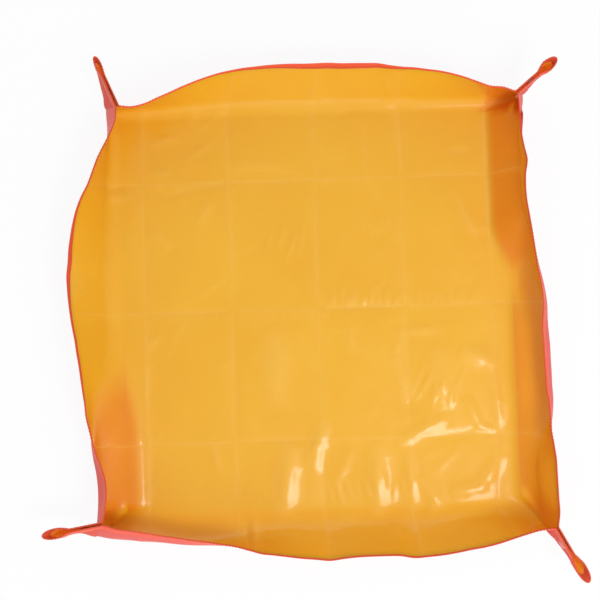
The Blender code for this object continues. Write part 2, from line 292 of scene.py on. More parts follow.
def report(item: Item) -> None:
    """Log one finished piece."""
    LOG.info("%s: %d vertices, %d faces", item.name, len(item.data.vertices), len(item.data.polygons))


@dataclass
class SheetForm:
    """The one square sheet: its sizes, and where its folds stand."""

    side: float = 0.680
    depth: float = 0.070
    middle: float = 0.00025
    spacing: float = 0.0039
    thickness: float = 0.00045
    bend: float = 0.017

    def __post_init__(self) -> None:
        """Work out half the floor's side, to the fold and to the soft bend inside it."""
        self.floor_half = self.side / 2 - self.depth
        self.inner_half = self.floor_half - self.bend

    def foot(self, corner: Corner) -> Vector:
        """The floor's corner."""
        side_x, side_y = CORNERS[corner].side
        return Vector((side_x * self.floor_half, side_y * self.floor_half, self.middle))

    def pinch(self, corner: Corner) -> Vector:
        """Where two walls meet at the sheet's edge."""
        return self.foot(corner) + self.depth * Vector(CORNERS[corner].pinch)

    def tip(self, corner: Corner) -> Vector:
        """The sheet's own corner, at the end of an ear."""
        return self.foot(corner) + self.depth * Vector(CORNERS[corner].tip)

    def layer_side(self, corner: Corner, wall: Wall) -> Vector:
        """The ear's unit normal, towards the layer that continues this wall."""
        along = self.tip(corner) - self.pinch(corner)
        normal = along.cross(self.pinch(corner) - self.foot(corner)).normalized()
        return normal if normal.dot(Vector(WALLS[wall].outward)) > 0 else -normal

    def wings(self, corner: Corner) -> list[Wall]:
        """The two walls that meet at a corner, the one along X first."""
        meeting = [wall for wall in Wall if corner in WALLS[wall].corners]
        return sorted(meeting, key=lambda wall: abs(WALLS[wall].outward[0]))

    def ear_matrix(self, corner: Corner, wall: Wall) -> Matrix:
        """The ear's own frame: X along its edge from the pinch, Y down, Z towards this layer."""
        edge = (self.tip(corner) - self.pinch(corner)).normalized()
        out = self.layer_side(corner, wall)
        down = out.cross(edge)
        return frame_of(edge, -down if down.dot(UP) > 0 else down, out, self.pinch(corner))


FORM = SheetForm()


@dataclass(frozen=True)
class Shoulder:
    """A stretch of floor that starts to rise at a packing crease, before it reaches the fold."""

    side: int
    slope: float
    full: float
    gone: float
    start: float
    drift: float
    rounding: float
    corner: float = 0.268
    corner_fade: float = 0.026

    def rise(self, u: float, v: float) -> float:
        """How far this place of the sheet is lifted."""
        strength = smooth((v - self.gone) / (self.full - self.gone))
        past = self.side * u - self.start - self.drift * (1 - strength)
        ramp = (past + math.sqrt(past**2 + self.rounding**2)) / 2
        return self.slope * strength * smooth(self.corner - abs(v), 0.0, self.corner_fade) * ramp


@dataclass
class Relief:
    """How far the sheet stands off its smooth form: packing creases, pillowed panels and wrinkles."""

    columns: int = 6
    rows: int = 4
    base: float = 0.0007
    crease_height: float = 0.0009
    crease_width: float = 0.0045
    wobble: float = 0.0007
    pillow: tuple[float, float] = (0.0003, 0.0019)
    swell: float = 0.0011
    ripple: float = 0.00035
    ground: float = 0.0004
    corner_calm: tuple[float, float] = (0.002, 0.042)
    seed: int = 11
    shoulders: tuple[Shoulder, ...] = (
        Shoulder(1, 1.3, 0.110, 0.005, 0.2275, 0.020, 0.0018),
        Shoulder(-1, 1.2, -0.170, -0.010, 0.2400, 0.014, 0.0120),
        Shoulder(1, 0.8, -0.030, 0.060, 0.2460, 0.004, 0.0040),
    )
    hatches: tuple[tuple[int, ...], ...] = (
        (80, 110, 30, 22, 100, 9),
        (-40, 90, 26, 30, 62, 4),
        (150, -110, 30, 40, 70, 8),
        (60, -235, 60, 20, 95, 10),
    )
    scattered: int = 150

    def __post_init__(self) -> None:
        """Draw the panels' heights and every small wrinkle."""
        draw = random.Random(self.seed)
        heights = [draw.uniform(*self.pillow) for _ in range(self.columns * self.rows)]
        self.panels = np.array(heights).reshape(self.columns, self.rows)
        self.wrinkles = [(*row, True) for row in SHARP_MM] + [(*row, False) for row in SOFT_MM]
        self.add_centre_crinkles(draw)
        for hatch in self.hatches:
            self.add_hatch(draw, *hatch)
        for _ in range(self.scattered):
            x, y, angle = draw.uniform(-320, 320), draw.uniform(-320, 320), draw.uniform(0, math.pi)
            self.add(x, y, angle, draw.uniform(8, 30), draw.uniform(-0.45, 0.55), draw.uniform(2.8, 7.0))

    def add(self, x: float, y: float, angle: float, half: float, height: float, width: float) -> None:
        """Add one soft wrinkle by its middle, angle, half length, height and width."""
        over, rise = half * math.cos(angle), half * math.sin(angle)
        self.wrinkles.append((x - over, y - rise, x + over, y + rise, width, height, False))

    def add_centre_crinkles(self, draw: random.Random) -> None:
        """Add the short folds that stand on the middle crease, taller on its right."""
        place = -215.0
        while place < 226:
            right = place > 10
            length = draw.uniform(12, 30) if right else draw.uniform(6, 16)
            side = 1 if right else -1
            height = draw.uniform(0.5, 1.1) if right else draw.uniform(0.2, 0.6)
            end = place + draw.uniform(-5, 5)
            width = draw.uniform(2.6, 3.6)
            self.wrinkles.append((place, side * 2.0, end, side * (2.0 + length), width, height, False))
            place += draw.uniform(7, 12)

    def add_hatch(
        self, draw: random.Random, x: int, y: int, wide: int, tall: int, turn: int, count: int
    ) -> None:
        """Add a patch of nearly parallel crinkles.

        Args:
            draw: The source of small differences.
            x: The patch's middle along X, in millimetres.
            y: The patch's middle along Y, in millimetres.
            wide: Half the patch's width, in millimetres.
            tall: Half the patch's height, in millimetres.
            turn: The way that the crinkles run, in degrees from X.
            count: How many there are.
        """
        for step in range(count):
            angle = math.radians(turn + draw.uniform(-14, 14))
            half = tall * draw.uniform(0.35, 0.8)
            place = x + wide * ((step + 0.5) / count * 2 - 1)
            self.add(place, y + draw.uniform(-0.4, 0.4) * tall, angle, half, draw.uniform(0.35, 0.9), 3.0)

    def creases(self, u: Grid, v: Grid) -> Grid:
        """The packing creases, which turn from ridge to valley where they cross."""
        total = np.zeros_like(u)
        column, row = FORM.side / self.columns, FORM.side / self.rows
        for across, along, step, other, count in (
            (u, v, column, row, self.columns),
            (v, u, row, column, self.rows),
        ):
            for line in range(1 - count // 2, count // 2):
                distance = np.abs(across - line * step - self.wobble * np.sin(along * 41 + line))
                way = np.sin(math.pi * along / other) * (1 if line % 2 else -1)
                strength = np.sign(way) * np.abs(way) ** 0.35
                strength *= 0.8 + 0.3 * np.sin(along * 23 + 2 * line)
                total += self.crease_height * strength * np.exp(-distance / self.crease_width)
        return total

    def pillows(self, u: Grid, v: Grid) -> Grid:
        """The panels between the creases, each a little raised."""
        place_u = np.clip(u / FORM.side * self.columns + self.columns / 2, 0, self.columns - 1e-6)
        place_v = np.clip(v / FORM.side * self.rows + self.rows / 2, 0, self.rows - 1e-6)
        height = self.panels[place_u.astype(int), place_v.astype(int)]
        return height * (np.sin(math.pi * (place_u % 1)) * np.sin(math.pi * (place_v % 1))) ** 0.75

    def wrinkled(self, u: Grid, v: Grid) -> Grid:
        """All wrinkles together."""
        total = np.zeros_like(u)
        for x0, y0, x1, y1, width, height, sharp in self.wrinkles:
            length = math.hypot(x1 - x0, y1 - y0) * MILLIMETRE
            way_u, way_v = np.array((x1 - x0, y1 - y0)) * MILLIMETRE / length
            far_u, far_v = u - x0 * MILLIMETRE, v - y0 * MILLIMETRE
            along = far_u * way_u + far_v * way_v
            apart = far_v * way_u - far_u * way_v
            spread = width * MILLIMETRE
            near = (np.abs(apart) < 4 * spread) & (along > -spread) & (along < length + spread)
            share = np.clip((along[near] + spread) / (length + 2 * spread), 0, 1)
            beside = np.abs(apart[near]) / spread
            profile = np.exp(-beside if sharp else -(beside**2))
            total[near] += height * MILLIMETRE * np.sin(math.pi * share) ** 0.8 * profile
        return total

    def waves(self, u: Grid, v: Grid) -> Grid:
        """Broad swells and finer ripples."""
        total = np.zeros_like(u)
        for size, scale, level in ((self.swell, 9, 3.1), (self.ripple, 34, 8.7)):
            drawn = [noise.noise(Vector((x * scale, y * scale, level))) for x, y in zip(u, v)]
            total += size * np.array(drawn)
        return total

    def height(self, u: Grid, v: Grid) -> Grid:
        """How far each place stands off, never below the ground."""
        total = self.base + self.creases(u, v) + self.pillows(u, v)
        total += self.wrinkled(u, v) + self.waves(u, v)
        total = 0.5 * (total + np.sqrt(total**2 + self.ground**2))
        apart = [np.maximum(FORM.floor_half - np.abs(place), 0) for place in (u, v)]
        return total * smooth_all(np.hypot(*apart), *self.corner_calm)

    def wear(self, u: Grid, v: Grid) -> Grid:
        """How much each place is rubbed or creased, from 0 to just under 1."""
        bent = np.abs(self.wrinkled(u, v)) / 0.0015 + np.abs(self.creases(u, v)) / 0.0012
        return np.clip(bent, 0, 0.95)

    def lift(self, u: float, v: float) -> float:
        """How far the shoulders lift this place of the floor."""
        return sum(shoulder.rise(u, v) for shoulder in self.shoulders)


class MiddleSurface:
    """A grid in the middle of the sheet's thickness, with each place's sheet coordinates."""

    def __init__(
        self, name: str, places: Grid, sheet: Grid, wear: Grid, drawn: Grid, facing: Vector
    ) -> None:
        """Shape a grid by arrays indexed by column and row.

        Args:
            name: The piece's name.
            places: Each point's place.
            sheet: Each point's sheet coordinates.
            wear: How worn each point is.
            drawn: How much shade is painted on each point, as a deeper orange.
            facing: The way that its normals point, on the whole.
        """
        self.name = name
        self.mesh = mesh = bmesh.new()
        columns, rows = places.shape[0] - 1, places.shape[1] - 1
        floats, vectors = mesh.verts.layers.float, mesh.verts.layers.float_vector
        ints, marks = mesh.verts.layers.int, mesh.faces.layers.int
        for layers, key in (
            (vectors, "place"), (floats, WEAR), (floats, PAINTED_SHADE_ATTRIBUTE), (vectors, "normal"), (ints, "side"),
            (marks, "rim"), (mesh.loops.layers.uv, SHEET_UV),
        ):
            layers.new(key)
        bmesh.ops.create_grid(mesh, x_segments=columns, y_segments=rows, size=1)
        # The painted shade is kept in a layer of its own.
        place, worn, painted_shade = vectors["place"], floats[WEAR], floats[PAINTED_SHADE_ATTRIBUTE]
        for vert in mesh.verts:
            i = round((vert.co.x + 1) / 2 * columns)
            j = round((vert.co.y + 1) / 2 * rows)
            vert.co = places[i, j]
            vert[place] = (*sheet[i, j], 0)
            vert[worn] = wear[i, j]
            vert[painted_shade] = drawn[i, j]
        mesh.normal_update()
        if sum((face.normal * face.calc_area() for face in mesh.faces), Vector()).dot(facing) < 0:
            bmesh.ops.reverse_faces(mesh, faces=mesh.faces)

    def own_normals(self) -> list[Vector]:
        """Each vertex's own normal."""
        self.mesh.normal_update()
        return [vert.normal.copy() for vert in self.mesh.verts]


def shared_normals(surfaces: Sequence[MiddleSurface], tolerance: float = 0.00001) -> list[list[Vector]]:
    """Each surface's normals as if all were joined at their seams, so that shading runs across."""
    whole = bmesh.new()
    for surface in surfaces:
        part = bpy.data.meshes.new("part")
        surface.mesh.to_mesh(part)
        whole.from_mesh(part)
        bpy.data.meshes.remove(part)
    bmesh.ops.remove_doubles(whole, verts=whole.verts, dist=tolerance)
    whole.normal_update()
    tree = kdtree.KDTree(len(whole.verts))
    for index, vert in enumerate(whole.verts):
        tree.insert(vert.co, index)
    tree.balance()
    normals = [vert.normal.copy() for vert in whole.verts]
    whole.free()
    return [[normals[tree.find(vert.co)[1]] for vert in surface.mesh.verts] for surface in surfaces]


def make_shell(
    surface: MiddleSurface, normals: Sequence[Vector], thickness: float, *finishes: Finish
) -> Item:
    """Give a middle surface its two faces and rim.

    Args:
        surface: The middle surface, whose normals point to the inner face.
        normals: The normal to use at each of its vertices.
        thickness: From face to face.
        finishes: The inner face's finish, and the outer face's where it differs.

    Returns:
        The closed shell, at the origin.
    """
    mesh = surface.mesh
    ints, vectors, marks = mesh.verts.layers.int, mesh.verts.layers.float_vector, mesh.faces.layers.int
    side, normal, place, rim = ints["side"], vectors["normal"], vectors["place"], marks["rim"]
    for vert, value in zip(mesh.verts, normals):
        vert[side] = 1
        vert[normal] = value
    copied = bmesh.ops.duplicate(mesh, geom=[*mesh.verts, *mesh.edges, *mesh.faces])["geom"]
    outer_faces = [part for part in copied if isinstance(part, bmesh.types.BMFace)]
    bmesh.ops.reverse_faces(mesh, faces=outer_faces)
    for face in outer_faces:
        face.material_index = len(finishes) - 1
    for part in copied:
        if isinstance(part, bmesh.types.BMVert):
            part[side] = -1
    for vert in mesh.verts:
        vert.co += Vector(vert[normal]) * (thickness / 2 * vert[side])
    rims = [edge for edge in mesh.edges if edge.is_boundary]
    for face in bmesh.ops.bridge_loops(mesh, edges=rims)["faces"]:
        face[rim] = 1
    shade_round(mesh)
    uv = mesh.loops.layers.uv[SHEET_UV]
    shading = []
    for face in mesh.faces:
        for loop in face.loops:
            loop[uv].uv = loop.vert[place][:2]
            smoothed = Vector(loop.vert[normal]) * loop.vert[side]
            shading.append(tuple(face.normal if face[rim] else smoothed))
    for layers, key in ((vectors, "place"), (vectors, "normal"), (ints, "side"), (marks, "rim")):
        layers.remove(layers[key])
    data = write_mesh(mesh, surface.name, *finishes)
    data.normals_split_custom_set(shading)
    return put_in_scene(surface.name, data)


class Panel:
    """A part of the sheet with a taped edge, read in shares across it and up to the edge.

    The height is from the foot to the edge, facing is the side of its inner face, and the steps up
    and along are those over which its normal is read.
    """

    height: float
    facing: Vector
    steps: tuple[float, float]

    def at(self, across: float, up: float) -> Vector:
        """A place of the panel's middle surface."""
        raise NotImplementedError

    def edge_frame(self, share: float, drop: float) -> tuple[Vector, Vector, Vector]:
        """The place at a share of the edge and a drop below it, its inner normal and the way up."""
        up = 1 - drop / self.height
        step_up, step_along = self.steps
        rising = (self.at(share, min(up + step_up, 1)) - self.at(share, up - step_up)).normalized()
        low, high = max(share - step_along, 0), min(share + step_along, 1)
        normal = (self.at(high, up) - self.at(low, up)).cross(rising).normalized()
        return self.at(share, up), -normal if normal.dot(self.facing) < 0 else normal, rising


@dataclass
class WallSurface(Panel):
    """One wall of the sheet, from the soft bend in the floor up to its edge."""

    relief: Relief
    wall: Wall
    columns: int = 200
    rows: int = 36
    steps: tuple[float, float] = (0.04, 0.006)
    shoulder_end: float = 0.040
    shoulder_ease: float = 1.6
    shoulder_sink: float = 0.3
    bulge_end: float = 0.13
    blend_start: float = -0.003
    blend_length: float = 0.006

    def __post_init__(self) -> None:
        """Work out the wall's grid."""
        self.shape = WALLS[self.wall]
        self.outward = Vector(self.shape.outward)
        self.facing = UP - self.outward
        self.height = FORM.depth
        self.first, self.last = corners = self.shape.corners
        self.run = (FORM.foot(self.last) - FORM.foot(self.first)).normalized()
        self.bend_share = FORM.bend / FORM.depth
        self.chords: dict[float, tuple[Vector, Vector, float]] = {}
        self.low_sides = [FORM.layer_side(corner, self.wall) * FORM.spacing / 2 for corner in corners]
        self.fill()

    def sheet_place(self, across: float, up: float) -> tuple[float, float]:
        """The sheet's own coordinates of a place of the wall."""
        along = (2 * across - 1) * (FORM.floor_half + FORM.depth * min(up, 0.0))
        place = self.run * along + self.outward * (FORM.floor_half + FORM.depth * up)
        return place.x, place.y

    def raised(self, across: float) -> float:
        """How far the floor's shoulder would lift the fold here."""
        place = (self.run * (2 * across - 1) + self.outward) * FORM.floor_half
        return self.relief.lift(place.x, place.y)

    def chord(self, across: float) -> tuple[Vector, Vector, float]:
        """The foot of the wall, the edge above it and the belly between them."""
        if across in self.chords:
            return self.chords[across]
        foot = FORM.foot(self.first).lerp(FORM.foot(self.last), across)
        edge = FORM.pinch(self.first).lerp(FORM.pinch(self.last), across)
        edge += self.outward * FORM.depth * read_stations(self.shape.bow, across) / 100
        belly = FORM.depth * read_stations(self.shape.belly, across) / 100
        reach = (edge - foot).dot(self.outward)
        length = FORM.depth - 8 / 3 * belly**2 / FORM.depth
        slack = []
        for corner in (self.first, self.last):
            top = FORM.pinch(corner) - FORM.foot(corner)
            slack.append(top.z - math.sqrt(FORM.depth**2 - top.dot(self.outward) ** 2))
        rise = math.sqrt(max(length**2 - reach**2, 0.0)) + slack[0] + (slack[1] - slack[0]) * across
        edge.z = foot.z + rise
        self.chords[across] = foot, edge, belly
        return self.chords[across]

    def standing(self, across: float, up: float) -> Vector:
        """A place of the wall above the bend."""
        foot, edge, belly = self.chord(across)
        chord = edge - foot
        way = chord.cross(self.run).normalized()
        if way.dot(self.outward) < 0:
            way = -way
        profile = belly_profile(up)
        from_end = FORM.floor_half * (1 - abs(2 * across - 1))
        lift = self.raised(across) * smooth(from_end, 0.0, self.shoulder_end)
        swell = belly * profile - self.shoulder_sink * lift * up * (1 - up)
        lifted = UP * lift * max(1 - up, 0.0) ** self.shoulder_ease
        return foot + chord * up + way * swell + self.corner_bulge(across) * profile + lifted

    def corner_bulge(self, across: float) -> Vector:
        """How far the seams at the wall's ends bow this part of it out."""
        total = Vector()
        for corner, apart in ((self.first, across), (self.last, 1 - across)):
            total += Vector(CORNERS[corner].bulge) * (1 - smooth(apart, 0.0, self.bulge_end))
        return total * FORM.depth

    def base(self, across: float, up: float) -> Vector:
        """A place of the wall's smooth form, bent softly into the floor."""
        offset = self.low_sides[0].lerp(self.low_sides[1], across) * max(up, 0.0) ** 2
        share = self.bend_share
        if up >= share:
            return self.standing(across, up) + offset
        spread = self.run * (2 * across - 1)
        start = (spread + self.outward) * FORM.inner_half
        lift = self.relief.lift(start.x, start.y)
        inside = start - self.outward * MILLIMETRE
        slope = (lift - self.relief.lift(inside.x, inside.y)) / MILLIMETRE
        start.z = FORM.middle + lift
        step = 0.02
        leave = (spread + self.outward + UP * slope) * FORM.depth
        arrive = (self.standing(across, share + step) - self.standing(across, share - step)) / (2 * step)
        part, span = (up + share) / (2 * share), 2 * share
        return (
            start * (2 * part**3 - 3 * part**2 + 1)
            + leave * span * (part**3 - 2 * part**2 + part)
            + self.standing(across, share) * (3 * part**2 - 2 * part**3)
            + arrive * span * (part**3 - part**2)
            + offset
        )

    def fill(self) -> None:
        """Work out the grid: the smooth form, then the relief along its normals."""
        ups = np.linspace(-self.bend_share, 1.0, self.rows + 1)
        shares = np.linspace(0.0, 1.0, self.columns + 1)
        places = np.array([[self.base(a, up) for up in ups] for a in shares])
        self.sheet = np.array([[self.sheet_place(a, up) for up in ups] for a in shares])
        normals = np.cross(np.gradient(places, axis=0), np.gradient(places, axis=1))
        normals /= np.linalg.norm(normals, axis=2, keepdims=True)
        normals *= np.sign(normals @ np.array(0.3 * UP - self.outward))[..., None]
        # Paint shade, as a deeper orange, on the steep and lifted parts of the wall.
        self.drawn = self.painted_steep_shade(shares[:, None], ups[None, :], normals)
        near_floor = smooth_all(ups, -self.bend_share, -self.bend_share + 0.2)[None, :, None]
        normals = np.array(UP) * (1 - near_floor) + normals * near_floor
        u, v = self.sheet[..., 0].ravel(), self.sheet[..., 1].ravel()
        height = self.relief.height(u, v).reshape(places.shape[:2])
        self.wear = self.relief.wear(u, v).reshape(places.shape[:2])
        self.places = places + normals * height[..., None]

    def painted_steep_shade(self, shares: Grid, ups: Grid, normals: Grid) -> Grid:
        """Painted shade, as a deeper orange: where the wall is steep, above the fold and over a shoulder."""
        steep = smooth_all(1 - np.abs(normals[..., 2]), 0.34, 0.74)
        drawn = self.shape.painted_shade * np.maximum(steep, 0.8 * smooth_all(ups, -0.22, -0.06))
        lifted = np.array([self.raised(a) for a in shares[:, 0]])[:, None] * (1 - 0.9 * ups)
        drawn = np.maximum(drawn, smooth_all(lifted, 0.0, 0.032))
        # Paint shade up the north wall's east end as well, where it joins the shaded east shoulder.
        if self.wall is Wall.NORTH:
            drawn = np.maximum(drawn, 0.9 * smooth_all(shares + 0.024 * ups, 0.918, 0.934))
        return drawn

    def at(self, across: float, up: float) -> Vector:
        """A place of the finished grid, between its points."""
        i = min(max(across, 0.0), 1.0) * self.columns
        j = (up + self.bend_share) / (1 + self.bend_share) * self.rows
        i0, j0 = min(int(i), self.columns - 1), min(max(int(j), 0), self.rows - 1)
        a, b = i - i0, j - j0
        left, right = self.places[i0], self.places[i0 + 1]
        low = left[j0] * (1 - a) + right[j0] * a
        high = left[j0 + 1] * (1 - a) + right[j0 + 1] * a
        return Vector(low * (1 - b) + high * b)

    def edge_length(self) -> float:
        """How long the taped edge is."""
        return float(np.linalg.norm(np.diff(self.places[:, -1], axis=0), axis=1).sum())

    def surface(self) -> MiddleSurface:
        """The wall's middle surface, facing the inside."""
        name = f"wall_sheet_{self.wall.value}"
        return MiddleSurface(name, self.places, self.sheet, self.wear, self.drawn, self.facing)

    def bend_line(self) -> tuple[Vector, Vector]:
        """Where the blend from the floor's body to the wall's starts and ends."""
        tilt = math.radians(self.shape.tilt)
        way = self.outward * math.cos(tilt) + UP * math.sin(tilt)
        hinge = self.outward * FORM.floor_half
        seam = max((Vector(place) - hinge).dot(way) for place in self.places[:, 0])
        start = hinge + way * max(seam, self.blend_start)
        return start, start + way * self.blend_length


@dataclass
class EarLayer(Panel):
    """One layer of an ear: the triangle between the pinch, the tip and the floor's corner.

    A place is read along it, from 0 at the wall to 1 at the diagonal fold, and by its share of the
    way from the floor's corner to the edge.
    """

    corner: Corner
    wall_surface: WallSurface
    columns: int = 46
    rows: int = 34
    steps: tuple[float, float] = (0.012, 0.012)
    fold_radius: float = 0.0022
    ruck: float = 0.0004
    snap: tuple[float, float] = (0.026, 0.0135)
    blend: tuple[float, float] = (0.0004, 0.0026)

    def __post_init__(self) -> None:
        """Read the ear's corners."""
        self.wall = self.wall_surface.wall
        self.end = 0.0 if self.corner == self.wall_surface.first else 1.0
        self.side = FORM.layer_side(self.corner, self.wall)
        self.facing = -self.side
        self.edge = FORM.tip(self.corner) - FORM.pinch(self.corner)
        self.length = self.edge.length
        low = FORM.foot(self.corner) - FORM.pinch(self.corner)
        self.height = (low - self.edge.normalized() * low.dot(self.edge.normalized())).length
        self.seams: dict[float, Vector] = {}

    def opening(self, along: float, share: float) -> float:
        """How far this layer stands off the ear's middle."""
        half = FORM.spacing / 2
        shape = CORNERS[self.corner]
        blend = smooth(along, 0.0, 0.25)
        closed = half * ((1 - blend) * share**2 + blend * smooth(share, 0.0, 0.45))
        mouth = smooth(along, shape.mouth_start, shape.mouth_start + 0.24) * smooth(share, 0.62, 1.0)
        opened = closed + mouth * max(shape.mouth - half, 0.0)
        fold = self.fold_radius + 2.2 * mouth * shape.mouth
        reach = max(min(fold / max(share * self.length, 1e-6), 1.0), 0.02)
        turn = max((along - (1 - reach)) / reach, 0.0)
        return opened * math.sqrt(max(1 - turn**2, 0.0))

    def rucks(self, along: float, share: float) -> float:
        """Small folds that run along the ear, kept off its borders and the snap."""
        borders = math.sin(math.pi * min(along, 1.0)) * math.sin(math.pi * share)
        snap_along, snap_down = self.snap
        apart = math.hypot(along * self.length - snap_along, (1 - share) * self.height - snap_down)
        seed = 2.0 * list(Corner).index(self.corner) + self.end
        lines = noise.noise(Vector((along * 2.2, share * 11 - along * 4, seed)))
        broad = noise.noise(Vector((along * 3, share * 3, seed + 9)))
        return self.ruck * borders * smooth(apart, 0.008, 0.018) * (2.2 * lines + 2.4 * broad)

    def at(self, along: float, share: float) -> Vector:
        """A place of the layer's middle surface."""
        if share not in self.seams:
            self.seams[share] = self.wall_surface.base(self.end, share)
        shift = self.opening(along, share) - FORM.spacing / 2 * share**2
        out = self.side * (shift + self.rucks(along, share))
        bulge = self.wall_surface.corner_bulge(self.end) * belly_profile(share)
        straight = self.seams[share] - bulge * smooth(along, 0.0, 0.9)
        return straight + self.edge * along * share + out

    def edge_length(self) -> float:
        """How long the taped edge is."""
        return self.length

    def sheet_place(self, along: float, share: float) -> tuple[float, float]:
        """The sheet's own coordinates of a place of the layer."""
        side_x, side_y = CORNERS[self.corner].side
        out = FORM.floor_half + FORM.depth * share
        over = FORM.floor_half + FORM.depth * share * along
        along_x = self.wall in (Wall.NORTH, Wall.SOUTH)
        return (side_x * over, side_y * out) if along_x else (side_x * out, side_y * over)

    def surface(self) -> MiddleSurface:
        """The layer's middle surface, facing the other layer."""
        spread = 1 - (1 - np.linspace(0.0, 1.0, self.columns + 1)) ** 1.5
        shares = np.linspace(0.0, 1.0, self.rows + 1)
        places = np.array([[self.at(a, b) for b in shares] for a in spread])
        sheet = np.array([[self.sheet_place(a, b) for b in shares] for a in spread])
        name = f"ear_sheet_{self.corner.value}_{self.wall.value}"
        whole = np.ones(places.shape[:2])
        made = MiddleSurface(name, places, sheet, whole, 0 * whole, self.facing)
        bmesh.ops.remove_doubles(made.mesh, verts=made.mesh.verts, dist=0.00002)
        return made

    def bend_line(self) -> tuple[Vector, Vector]:
        """Where the blend from the wall's body to this layer's starts and ends, beyond the seam."""
        foot = FORM.foot(self.corner)
        axis = (FORM.pinch(self.corner) - foot).normalized()
        level = (self.edge - axis * self.edge.dot(axis)).normalized()
        lean = math.radians(CORNERS[self.corner].lean)
        way = level * math.cos(lean) + axis * math.sin(lean)
        bow = max((self.at(0.0, share / 40) - foot).dot(way) for share in range(41))
        start, end = self.blend
        return foot + way * (bow + start), foot + way * (bow + end)


def maths(operation: str, swapped: bool = False) -> Callable[..., "Channel"]:
    """A method that adds one Math node, with the other values after this socket or before it."""

    def method(self: "Channel", *values: Any) -> "Channel":
        """Add the node."""
        inputs = (*values, self) if swapped else (self, *values)
        return self.maker.node("ShaderNodeMath", {"operation": operation}, dict(enumerate(inputs)))

    return method


class Channel:
    """One shader socket. Arithmetic on it adds Math nodes."""

    __add__ = __radd__ = maths("ADD")
    __sub__ = maths("SUBTRACT")
    __rsub__ = maths("SUBTRACT", swapped=True)
    __mul__ = __rmul__ = maths("MULTIPLY")
    __truediv__ = maths("DIVIDE")
    __pow__ = maths("POWER")
    __gt__ = maths("GREATER_THAN")
    __abs__ = maths("ABSOLUTE")
    sine = maths("SINE")
    larger = maths("MAXIMUM")
    smaller = maths("MINIMUM")
    folded = maths("PINGPONG")

    def __init__(self, maker: "NodeMaker", socket: bpy.types.NodeSocket) -> None:
        """Hold the socket and its maker."""
        self.maker = maker
        self.socket = socket

    def other(self, name: str) -> "Channel":
        """Another output of the same node."""
        return Channel(self.maker, self.socket.node.outputs[name])

    def clamped(self) -> "Channel":
        """Kept between 0 and 1."""
        return self.smaller(1.0).larger(0.0)


class NodeMaker:
    """Makes one material and its nodes."""

    def __init__(self, name: str) -> None:
        """Start a material with its own shader."""
        self.material = bpy.data.materials.new(name)
        self.material.use_nodes = True
        self.tree = self.material.node_tree
        self.shader = self.tree.nodes["Principled BSDF"]

    def feed(self, socket: bpy.types.NodeSocket, value: Any) -> None:
        """Link a channel to a socket, or set the socket's own value."""
        if isinstance(value, Channel):
            self.tree.links.new(value.socket, socket)
        else:
            socket.default_value = value

    def node(
        self, kind: str, settings: dict[str, Any], sockets: dict[Any, Any], output: Any = 0
    ) -> Channel:
        """Add one node.

        Args:
            kind: The node's type.
            settings: What is set on the node first.
            sockets: The values or links of its inputs, by name or number.
            output: The output to return.

        Returns:
            That output.
        """
        made = self.tree.nodes.new(kind)
        for key, value in settings.items():
            setattr(made, key, value)
        for key, value in sockets.items():
            self.feed(made.inputs[key], value)
        return Channel(self, made.outputs[output])

    def mixed(self, share: Any, first: Any, second: Any) -> Channel:
        """Mix two colours."""
        return self.node("ShaderNodeMix", {"data_type": "RGBA"}, {0: share, 6: first, 7: second}, 2)

    def spread(self, place: Channel, scale: float, detail: float = 2.0, rough: float = 0.5) -> Channel:
        """Noise over a place."""
        sockets = {"Vector": place, "Scale": scale, "Detail": detail, "Roughness": rough}
        return self.node("ShaderNodeTexNoise", {}, sockets)

    def bumped(self, height: Channel, distance: float, strength: float, **over: Channel) -> Channel:
        """A bump of this height, over another where its Normal is given."""
        sockets = {"Height": height, "Distance": distance, "Strength": strength, **over}
        return self.node("ShaderNodeBump", {}, sockets)

    def sheet_place(self) -> Channel:
        """The sheet's own coordinates, as a vector."""
        return self.node("ShaderNodeUVMap", {"uv_map": SHEET_UV}, {})

    def object_place(self) -> Channel:
        """The object's own coordinates."""
        return self.node("ShaderNodeTexCoord", {}, {}, "Object")

    def attribute(self, name: str) -> Channel:
        """A value kept at each point."""
        return self.node("ShaderNodeAttribute", {"attribute_name": name}, {}, "Fac")

    def dress(self, **values: Any) -> Finish:
        """Set the shader's sockets, by names with underscores for spaces."""
        for key, value in values.items():
            self.feed(self.shader.inputs[key.replace("_", " ")], value)
        return self.material

    def show_mixed(self, share: Any, first: Channel, second: Channel) -> Finish:
        """Show a mix of two shaders."""
        both = self.node("ShaderNodeMixShader", {}, {0: share, 1: first, 2: second})
        self.feed(self.tree.nodes["Material Output"].inputs["Surface"], both)
        return self.material


